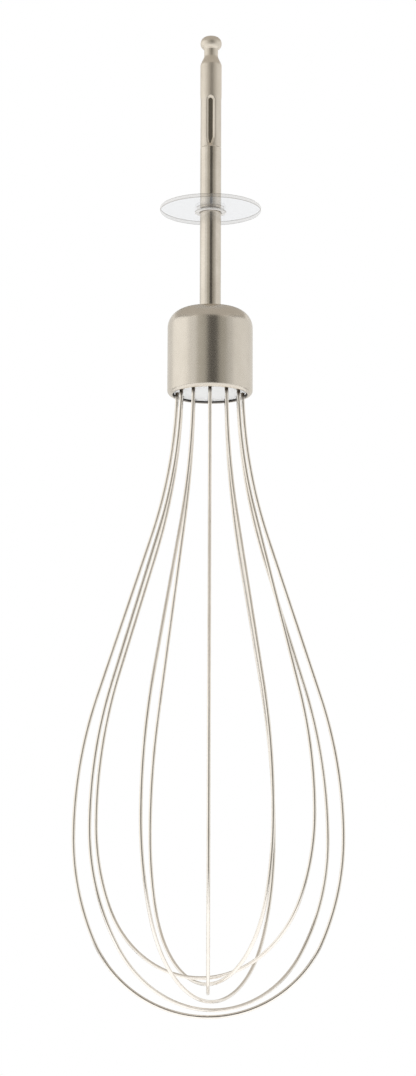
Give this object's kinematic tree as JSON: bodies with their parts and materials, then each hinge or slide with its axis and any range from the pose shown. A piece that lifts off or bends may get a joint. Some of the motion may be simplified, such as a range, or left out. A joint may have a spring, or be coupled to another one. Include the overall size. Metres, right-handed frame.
{
  "type": "balloon whisk attachment",
  "caption": "Balloon whisk attachment for a mixer: ball-ended steel drive shank, clear splash disc that slides on it, round steel hub and a cage of nested wire loops.",
  "frame": {"origin": "on the shank's axis, in the middle of the plain land between the neck cone and the drive flutes, where the mixer's socket grips", "axes": "+Z along the shank towards its ball end, so the cage hangs towards -Z; the outermost wire loop lies in the XZ plane and one drive flute faces -Y, turned 4 degrees from it"},
  "size_m": [0.074, 0.071, 0.2752],
  "materials": {
    "shank_steel": "polished stainless rod",
    "clear_plastic": "clear, glossy",
    "clear_grommet": "clear silicone, soft gloss",
    "hub_steel": "satin, fine grain",
    "core_nylon": "moulded, matt",
    "white_plastic": "moulded, matt",
    "pin_steel": "ground",
    "wire_steel": "bright drawn wire"
  },
  "bodies": {
    "whisk": {"drive_shank": "shank_steel", "hub_cap": "hub_steel", "hub_core": "core_nylon", "wire_plug": "white_plastic", "cross_pin": "pin_steel", "wire_loop_1": "wire_steel", "wire_loop_2": "wire_steel", "wire_loop_3": "wire_steel", "wire_loop_4": "wire_steel", "wire_loop_5": "wire_steel", "wire_loop_6": "wire_steel"},
    "grommet": {"disc_grommet": "clear_grommet"},
    "disc": {"splash_disc": "clear_plastic"}
  },
  "joints": [
    {"name": "disc_slide", "type": "slide", "parent": "whisk", "child": "grommet", "axis": [0, 0, 1], "range_m": [-0.0265, 0.016]},
    {"name": "disc_turn", "type": "hinge", "parent": "grommet", "child": "disc", "pos_m": [0, 0, -0.0375], "axis": [0, 0, 1], "continuous": true}
  ]
}
